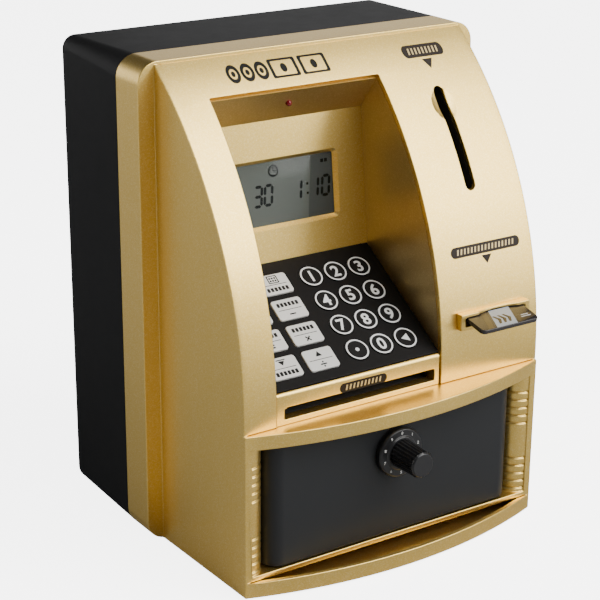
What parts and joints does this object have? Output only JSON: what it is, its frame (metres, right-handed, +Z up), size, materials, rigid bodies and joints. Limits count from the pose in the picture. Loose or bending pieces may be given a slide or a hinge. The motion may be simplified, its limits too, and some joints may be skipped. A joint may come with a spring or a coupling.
{
  "type": "electronic savings bank",
  "caption": "Toy cash machine savings bank: curved gold front, recessed keypad and display, card, coin and note slots, and a safe with a hinged door and turning knob.",
  "frame": {"origin": "middle of the footprint, on the surface the feet stand on", "axes": "+X to the right seen from the front, +Y to the back, +Z up"},
  "size_m": [0.19, 0.1718, 0.2374],
  "materials": {
    "gold": "satin metallic gold",
    "dark_shell": "satin",
    "black": "semi-gloss",
    "grey": "matt",
    "steel": "plain",
    "ivory": "satin",
    "rubber": "matt",
    "board": "lacquered",
    "brass": "plain",
    "display": "grey-green",
    "clear": "clear",
    "lamp": "dark red",
    "card": "laminated",
    "cell": "printed sleeve"
  },
  "bodies": {
    "housing": {"rear_shell": "dark_shell", "front_shell": "gold", "face_panel": "gold", "display_tub": "gold", "slot_bar": "gold", "keypad_plate": "black", "key_mat": "rubber", "keypad_board": "board", "main_board": "board", "lcd_panel": "display", "lcd_window": "clear", "led": "lamp", "card_bezel": "gold", "card_guide": "grey", "card_switch": "grey", "coin_chute": "grey", "note_guide": "grey", "drive_motor": "steel", "safe_box": "grey", "hinge_pin": "steel", "lock_solenoid": "steel", "battery_box": "dark_shell", "battery_cells": "cell", "battery_contacts": "steel", "speaker": "grey", "rubber_feet": "rubber", "shell_screws": "steel"},
    "door_leaf": {"door": "black", "dial_plate": "black"},
    "door_knob": {"knob": "black", "latch_cam": "steel"},
    "lock_bolt": {"lock_plunger": "steel"},
    "card": {"cash_card": "card"},
    "counting_lever": {"coin_lever": "steel"},
    "feed_drive": {"drive_roller": "rubber", "roller_gear": "ivory"},
    "feed_pinch": {"pinch_roller": "rubber"},
    "motor_pinion": {"motor_gear": "brass"},
    "power_cover": {"battery_cover": "dark_shell"},
    "key_1_body": {"key_1": "black"},
    "key_2_body": {"key_2": "black"},
    "key_3_body": {"key_3": "black"},
    "key_4_body": {"key_4": "black"},
    "key_5_body": {"key_5": "black"},
    "key_6_body": {"key_6": "black"},
    "key_7_body": {"key_7": "black"},
    "key_8_body": {"key_8": "black"},
    "key_9_body": {"key_9": "black"},
    "key_point_body": {"key_point": "black"},
    "key_0_body": {"key_0": "black"},
    "key_clear_body": {"key_clear": "black"},
    "function_key_1_body": {"function_key_1": "ivory"},
    "function_key_2_body": {"function_key_2": "ivory"},
    "function_key_3_body": {"function_key_3": "ivory"},
    "function_key_4_body": {"function_key_4": "ivory"},
    "function_key_5_body": {"function_key_5": "ivory"},
    "function_key_6_body": {"function_key_6": "ivory"},
    "function_key_7_body": {"function_key_7": "ivory"},
    "function_key_8_body": {"function_key_8": "ivory"}
  },
  "joints": [
    {"name": "door_hinge", "type": "hinge", "parent": "housing", "child": "door_leaf", "pos_m": [-0.0636, -0.0574, 0.041], "axis": [0, 0, -1], "range_deg": [0, 100]},
    {"name": "knob_turn", "type": "hinge", "parent": "door_leaf", "child": "door_knob", "pos_m": [0, -0.0659, 0.0545], "axis": [0, -1, 0], "range_deg": [0, 90]},
    {"name": "bolt_slide", "type": "slide", "parent": "housing", "child": "lock_bolt", "axis": [-1, 0, 0], "range_m": [0, 0.0067], "stiffness_N_per_m": 40},
    {"name": "card_slide", "type": "slide", "parent": "housing", "child": "card", "axis": [0, -0.9751, -0.2215], "range_m": [-0.004, 0.038]},
    {"name": "lever_pivot", "type": "hinge", "parent": "housing", "child": "counting_lever", "pos_m": [0, 0.0226, 0.129], "axis": [1, 0, 0], "range_deg": [0, 25], "stiffness_Nm_per_rad": 0.002, "springref_deg": -11.46},
    {"name": "drive_spin", "type": "hinge", "parent": "housing", "child": "feed_drive", "pos_m": [0, -0.0439, 0.0929], "axis": [1, 0, 0], "continuous": true},
    {"name": "pinch_spin", "type": "hinge", "parent": "housing", "child": "feed_pinch", "pos_m": [0, -0.0439, 0.0817], "axis": [1, 0, 0], "continuous": true},
    {"name": "pinion_spin", "type": "hinge", "parent": "housing", "child": "motor_pinion", "pos_m": [0, -0.03338, 0.09673], "axis": [1, 0, 0], "continuous": true},
    {"name": "battery_cover_hinge", "type": "hinge", "parent": "housing", "child": "power_cover", "pos_m": [0, 0.0847, 0.0963], "axis": [-1, 0, 0], "range_deg": [0, 90]},
    {"name": "key_1_press", "type": "slide", "parent": "housing", "child": "key_1_body", "axis": [0, 0.5417, -0.8406], "range_m": [0, 0.0008], "stiffness_N_per_m": 300},
    {"name": "key_2_press", "type": "slide", "parent": "housing", "child": "key_2_body", "axis": [0, 0.5417, -0.8406], "range_m": [0, 0.0008], "stiffness_N_per_m": 300},
    {"name": "key_3_press", "type": "slide", "parent": "housing", "child": "key_3_body", "axis": [0, 0.5417, -0.8406], "range_m": [0, 0.0008], "stiffness_N_per_m": 300},
    {"name": "key_4_press", "type": "slide", "parent": "housing", "child": "key_4_body", "axis": [0, 0.5417, -0.8406], "range_m": [0, 0.0008], "stiffness_N_per_m": 300},
    {"name": "key_5_press", "type": "slide", "parent": "housing", "child": "key_5_body", "axis": [0, 0.5417, -0.8406], "range_m": [0, 0.0008], "stiffness_N_per_m": 300},
    {"name": "key_6_press", "type": "slide", "parent": "housing", "child": "key_6_body", "axis": [0, 0.5417, -0.8406], "range_m": [0, 0.0008], "stiffness_N_per_m": 300},
    {"name": "key_7_press", "type": "slide", "parent": "housing", "child": "key_7_body", "axis": [0, 0.5417, -0.8406], "range_m": [0, 0.0008], "stiffness_N_per_m": 300},
    {"name": "key_8_press", "type": "slide", "parent": "housing", "child": "key_8_body", "axis": [0, 0.5417, -0.8406], "range_m": [0, 0.0008], "stiffness_N_per_m": 300},
    {"name": "key_9_press", "type": "slide", "parent": "housing", "child": "key_9_body", "axis": [0, 0.5417, -0.8406], "range_m": [0, 0.0008], "stiffness_N_per_m": 300},
    {"name": "key_point_press", "type": "slide", "parent": "housing", "child": "key_point_body", "axis": [0, 0.5417, -0.8406], "range_m": [0, 0.0008], "stiffness_N_per_m": 300},
    {"name": "key_0_press", "type": "slide", "parent": "housing", "child": "key_0_body", "axis": [0, 0.5417, -0.8406], "range_m": [0, 0.0008], "stiffness_N_per_m": 300},
    {"name": "key_clear_press", "type": "slide", "parent": "housing", "child": "key_clear_body", "axis": [0, 0.5417, -0.8406], "range_m": [0, 0.0008], "stiffness_N_per_m": 300},
    {"name": "function_key_1_press", "type": "slide", "parent": "housing", "child": "function_key_1_body", "axis": [0, 0.5417, -0.8406], "range_m": [0, 0.0008], "stiffness_N_per_m": 300},
    {"name": "function_key_2_press", "type": "slide", "parent": "housing", "child": "function_key_2_body", "axis": [0, 0.5417, -0.8406], "range_m": [0, 0.0008], "stiffness_N_per_m": 300},
    {"name": "function_key_3_press", "type": "slide", "parent": "housing", "child": "function_key_3_body", "axis": [0, 0.5417, -0.8406], "range_m": [0, 0.0008], "stiffness_N_per_m": 300},
    {"name": "function_key_4_press", "type": "slide", "parent": "housing", "child": "function_key_4_body", "axis": [0, 0.5417, -0.8406], "range_m": [0, 0.0008], "stiffness_N_per_m": 300},
    {"name": "function_key_5_press", "type": "slide", "parent": "housing", "child": "function_key_5_body", "axis": [0, 0.5417, -0.8406], "range_m": [0, 0.0008], "stiffness_N_per_m": 300},
    {"name": "function_key_6_press", "type": "slide", "parent": "housing", "child": "function_key_6_body", "axis": [0, 0.5417, -0.8406], "range_m": [0, 0.0008], "stiffness_N_per_m": 300},
    {"name": "function_key_7_press", "type": "slide", "parent": "housing", "child": "function_key_7_body", "axis": [0, 0.5417, -0.8406], "range_m": [0, 0.0008], "stiffness_N_per_m": 300},
    {"name": "function_key_8_press", "type": "slide", "parent": "housing", "child": "function_key_8_body", "axis": [0, 0.5417, -0.8406], "range_m": [0, 0.0008], "stiffness_N_per_m": 300}
  ],
  "couplings": [
    {"joint": "pinch_spin", "follows": "drive_spin", "ratio": -1},
    {"joint": "pinion_spin", "follows": "drive_spin", "ratio": -1.8}
  ]
}
